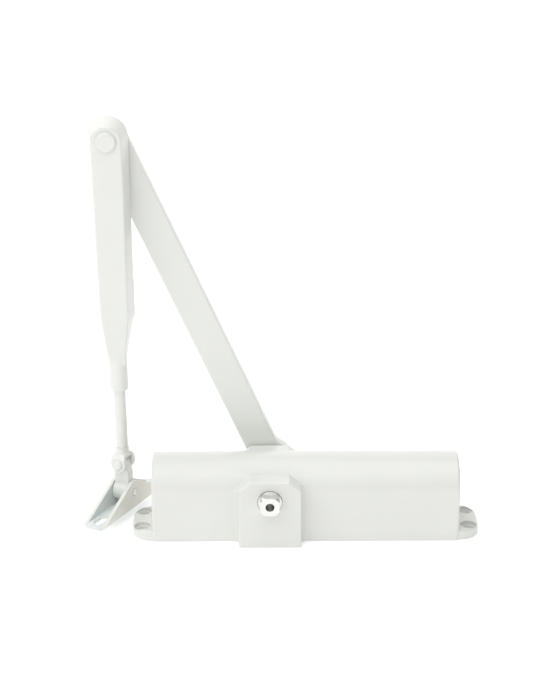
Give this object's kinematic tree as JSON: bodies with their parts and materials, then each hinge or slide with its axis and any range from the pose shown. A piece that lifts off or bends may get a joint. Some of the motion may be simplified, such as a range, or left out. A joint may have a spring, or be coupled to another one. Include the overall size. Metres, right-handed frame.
{
  "type": "door closer",
  "caption": "Surface-mounted door closer: a sprung rack-and-pinion body with a folding two-piece arm, an adjustable rod and a pivoting shoe.",
  "frame": {"origin": "centre of the four fixing holes, on the mounting face", "axes": "+Z away from the mounting face, +X along the body towards the spring end, +Y towards the arm"},
  "size_m": [0.2301, 0.0855, 0.2409],
  "materials": {
    "body_paint": "gloss white paint",
    "arm_paint": "gloss white paint",
    "shoe_paint": "satin off-white paint",
    "shaft_steel": "turned steel",
    "bearing_steel": "ground steel",
    "piston_steel": "ground steel",
    "spring_steel": "oiled spring steel",
    "ball_steel": "polished ball",
    "plug_steel": "zinc-plated steel",
    "fastener_zinc": "zinc-plated steel",
    "valve_brass": "turned brass",
    "seal_rubber": "matt black rubber"
  },
  "bodies": {
    "housing": {"body_casting": "body_paint", "pinion_bearing_near": "bearing_steel", "pinion_bearing_far": "bearing_steel", "pinion_seal_near": "seal_rubber", "pinion_seal_far": "seal_rubber", "bearing_retainer": "bearing_steel", "end_plug_left": "plug_steel", "end_plug_right": "plug_steel", "plug_seal_left": "seal_rubber", "plug_seal_right": "seal_rubber", "main_spring": "spring_steel"},
    "pinion": {"pinion_shaft": "shaft_steel", "main_arm": "arm_paint", "arm_washer": "fastener_zinc", "arm_screw": "fastener_zinc", "elbow_pin": "arm_paint"},
    "piston": {"rack_piston": "piston_steel", "check_valve_ball": "ball_steel", "check_valve_cage": "valve_brass"},
    "forearm_body": {"forearm": "arm_paint", "elbow_washer": "fastener_zinc", "rod_clamp_screw": "fastener_zinc"},
    "rod": {"adjuster_rod": "arm_paint"},
    "fork": {"rod_end_fork": "arm_paint", "fork_pin": "arm_paint"},
    "knuckle_body": {"knuckle": "arm_paint"},
    "shoe": {"arm_shoe": "shoe_paint", "shoe_pin": "fastener_zinc"},
    "speed_regulator": {"speed_valve": "valve_brass", "speed_valve_seal": "seal_rubber"},
    "latch_regulator": {"latch_valve": "valve_brass", "latch_valve_seal": "seal_rubber"}
  },
  "joints": [
    {"name": "arm_swing", "type": "hinge", "parent": "housing", "child": "pinion", "pos_m": [-0.0206, 0, 0.0285], "axis": [0, 1, 0], "range_deg": [0, 110], "stiffness_Nm_per_rad": 6, "springref_deg": -85.94},
    {"name": "piston_slide", "type": "slide", "parent": "housing", "child": "piston", "axis": [1, 0, 0], "range_m": [-0.0002, 0.0148], "deforming": ["main_spring"]},
    {"name": "elbow_pivot", "type": "hinge", "parent": "pinion", "child": "forearm_body", "pos_m": [-0.10998, 0.019, 0.22953], "axis": [0, 1, 0], "range_deg": [0, 130]},
    {"name": "rod_slide", "type": "slide", "parent": "forearm_body", "child": "rod", "axis": [0.0122, 0, -0.9999], "range_m": [-0.02, 0.03]},
    {"name": "fork_turn", "type": "hinge", "parent": "rod", "child": "fork", "pos_m": [-0.10758, 0.019, 0.03364], "axis": [-0.0122, 0, 0.9999], "range_deg": [-20, 10]},
    {"name": "knuckle_tilt", "type": "hinge", "parent": "fork", "child": "knuckle_body", "pos_m": [-0.10758, 0.019, 0.03364], "axis": [0.4694, 0.8829, 0.0057], "range_deg": [0, 30]},
    {"name": "shoe_swing", "type": "hinge", "parent": "knuckle_body", "child": "shoe", "pos_m": [-0.10736, 0.019, 0.01504], "axis": [0.8829, -0.4695, 0.0108], "range_deg": [-45, 45]},
    {"name": "speed_valve_turn", "type": "hinge", "parent": "housing", "child": "speed_regulator", "pos_m": [-0.0887, 0.0126, 0.01], "axis": [1, 0, 0], "range_deg": [-180, 180]},
    {"name": "latch_valve_turn", "type": "hinge", "parent": "housing", "child": "latch_regulator", "pos_m": [-0.0887, -0.0126, 0.01], "axis": [1, 0, 0], "range_deg": [-180, 180]}
  ],
  "couplings": [
    {"joint": "piston_slide", "follows": "arm_swing", "m_per_rad": 0.0075}
  ]
}
